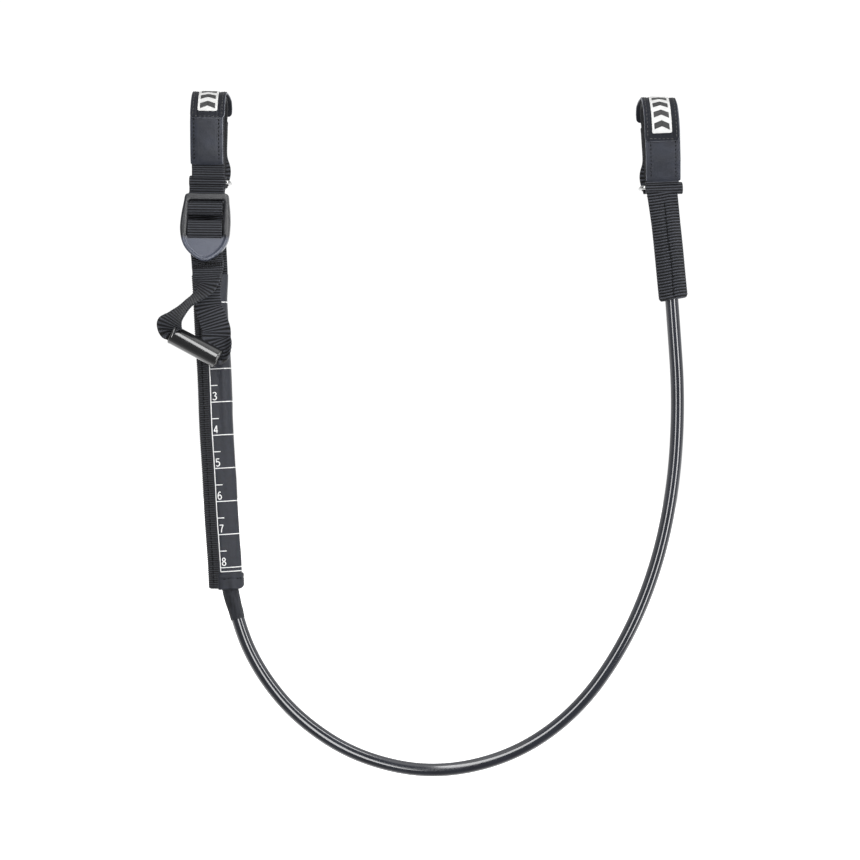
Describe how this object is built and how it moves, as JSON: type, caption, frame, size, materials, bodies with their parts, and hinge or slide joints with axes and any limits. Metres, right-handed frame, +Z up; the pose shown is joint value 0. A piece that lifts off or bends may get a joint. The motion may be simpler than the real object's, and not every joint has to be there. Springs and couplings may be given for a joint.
{
  "type": "windsurfing harness line",
  "caption": "Adjustable harness line: U-shaped flexible tube hung from two hook-and-loop boom straps, with a ladder-lock buckle, pull tail and scale sleeve.",
  "frame": {"origin": "axis of the left boom strap's grip, at the strap's middle", "axes": "+X along the boom towards the right strap, +Y away from the sailor, +Z up"},
  "size_m": [0.3151, 0.0459, 0.4106],
  "materials": {
    "webbing": "matte ribbed polyester",
    "leatherette": "satin",
    "grip_lining": "matte",
    "hook_and_loop": "matte",
    "label": "satin",
    "stainless_steel": "polished",
    "buckle_plastic": "fine satin",
    "handle_plastic": "gloss",
    "printed_panel": "coated",
    "tube_cover": "matte",
    "tube": "gloss",
    "rope": "braided"
  },
  "bodies": {
    "left_strap": {"left_strap_lining": "grip_lining", "left_strap_webbing": "webbing", "left_strap_pad": "leatherette", "left_hook_tape": "hook_and_loop", "left_top_patch": "leatherette", "left_label": "label", "left_ring_band": "webbing", "left_ring": "stainless_steel"},
    "left_flap": {"left_strap_flap": "webbing", "left_loop_tape": "hook_and_loop"},
    "line": {"hanger_webbing": "webbing", "link_webbing": "webbing", "adjusting_webbing": "webbing", "sleeve_webbing": "webbing", "scale_panel": "printed_panel", "sleeve_hem": "printed_panel", "tube_end_cover": "tube_cover", "flexible_tube": "tube", "rope_core": "rope", "right_sleeve_front": "webbing", "right_sleeve_back": "webbing", "right_anchor_webbing": "webbing"},
    "buckle": {"buckle": "buckle_plastic", "buckle_webbing": "webbing"},
    "pull_tail": {"tail_lead": "webbing", "tail_front_limb": "webbing", "tail_back_limb": "webbing", "pull_handle": "handle_plastic", "tail_in_handle": "webbing"},
    "right_strap": {"right_strap_lining": "grip_lining", "right_strap_webbing": "webbing", "right_strap_pad": "leatherette", "right_hook_tape": "hook_and_loop", "right_top_patch": "leatherette", "right_label": "label", "right_ring_band": "webbing", "right_ring": "stainless_steel"},
    "right_flap": {"right_strap_flap": "webbing", "right_loop_tape": "hook_and_loop"}
  },
  "joints": [
    {"name": "left_flap_open", "type": "hinge", "parent": "left_strap", "child": "left_flap", "pos_m": [0, 0.0074, -0.0348], "axis": [-1, 0, 0], "range_deg": [0, 90]},
    {"name": "line_swing", "type": "hinge", "parent": "left_strap", "child": "line", "pos_m": [0, -0.0045, -0.0348], "axis": [-1, 0, 0], "range_deg": [-45, 60]},
    {"name": "buckle_release", "type": "hinge", "parent": "line", "child": "buckle", "pos_m": [-0.0008, -0.0137, -0.0513], "axis": [-1, 0, 0], "range_deg": [0, 18]},
    {"name": "handle_pull", "type": "slide", "parent": "line", "child": "pull_tail", "axis": [0.0673, 0, -0.9977], "range_m": [0, 0.15], "deforming": ["tail_lead"]},
    {"name": "right_strap_swing", "type": "hinge", "parent": "line", "child": "right_strap", "pos_m": [0.2724, -0.0045, -0.0348], "axis": [-1, 0, 0], "range_deg": [-60, 45]},
    {"name": "right_flap_open", "type": "hinge", "parent": "right_strap", "child": "right_flap", "pos_m": [0.2724, 0.0074, -0.0348], "axis": [-1, 0, 0], "range_deg": [0, 90]}
  ],
  "couplings": [
    {"joint": "right_strap_swing", "follows": "line_swing", "ratio": -1}
  ]
}
